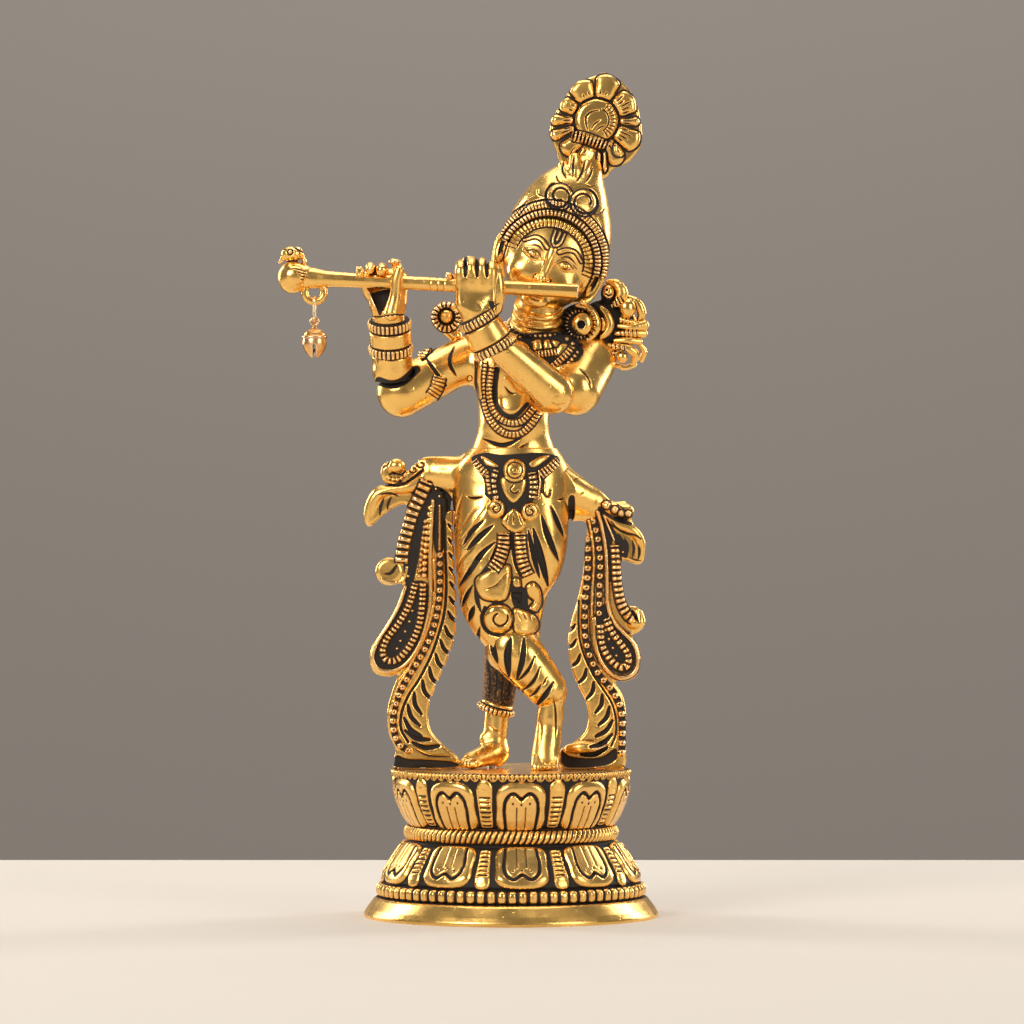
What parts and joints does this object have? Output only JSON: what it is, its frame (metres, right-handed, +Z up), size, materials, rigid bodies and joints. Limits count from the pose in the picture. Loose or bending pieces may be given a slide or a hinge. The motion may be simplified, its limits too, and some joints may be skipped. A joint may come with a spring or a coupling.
{
  "type": "hindu deity statue",
  "caption": "Gold-plated metal figurine of a standing deity playing a flute, with side scarves, a feathered turban, a small hanging bell and a round lotus pedestal.",
  "frame": {"origin": "centre of the pedestal's underside", "axes": "+Z up along the figure's height, the figure faces -Y, and its right side is on -X"},
  "size_m": [0.1285, 0.1, 0.2868],
  "materials": {
    "gold_casting": "polished gold plating over a casting, with black-brown patina in the recesses",
    "bell_brass": "polished, a little redder than the castings",
    "bell_wire": "bright drawn wire",
    "bell_steel": "plain ball",
    "screw_steel": "zinc plated"
  },
  "bodies": {
    "figurine": {"pedestal": "gold_casting", "dhoti": "gold_casting", "right_leg": "gold_casting", "left_leg": "gold_casting", "left_anklet": "gold_casting", "belt": "gold_casting", "torso": "gold_casting", "neck": "gold_casting", "collar": "gold_casting", "head": "gold_casting", "crown": "gold_casting", "plume": "gold_casting", "right_upper_arm": "gold_casting", "right_forearm": "gold_casting", "left_upper_arm": "gold_casting", "left_forearm": "gold_casting", "flute": "gold_casting", "flute_bird": "gold_casting", "right_scarf": "gold_casting", "left_scarf": "gold_casting", "right_shoulder_flower": "gold_casting", "left_shoulder_flower": "gold_casting", "left_earring": "gold_casting", "bell_loop": "gold_casting", "feet_screws": "screw_steel"},
    "link": {"bell_link": "bell_wire"},
    "bell": {"bell_top": "bell_brass", "bell_bottom": "bell_brass"},
    "pellet": {"bell_pellet": "bell_steel"}
  },
  "joints": [
    {"name": "link_swing", "type": "hinge", "parent": "figurine", "child": "link", "pos_m": [-0.066, -0.0215, 0.20775], "axis": [1, 0, 0], "range_deg": [-60, 60]},
    {"name": "bell_swing", "type": "hinge", "parent": "link", "child": "bell", "pos_m": [-0.066, -0.0215, 0.2011], "axis": [0, 1, 0], "range_deg": [-55, 55]},
    {"name": "pellet_rattle", "type": "slide", "parent": "bell", "child": "pellet", "axis": [0, 0, 1], "range_m": [0, 0.0015]}
  ]
}
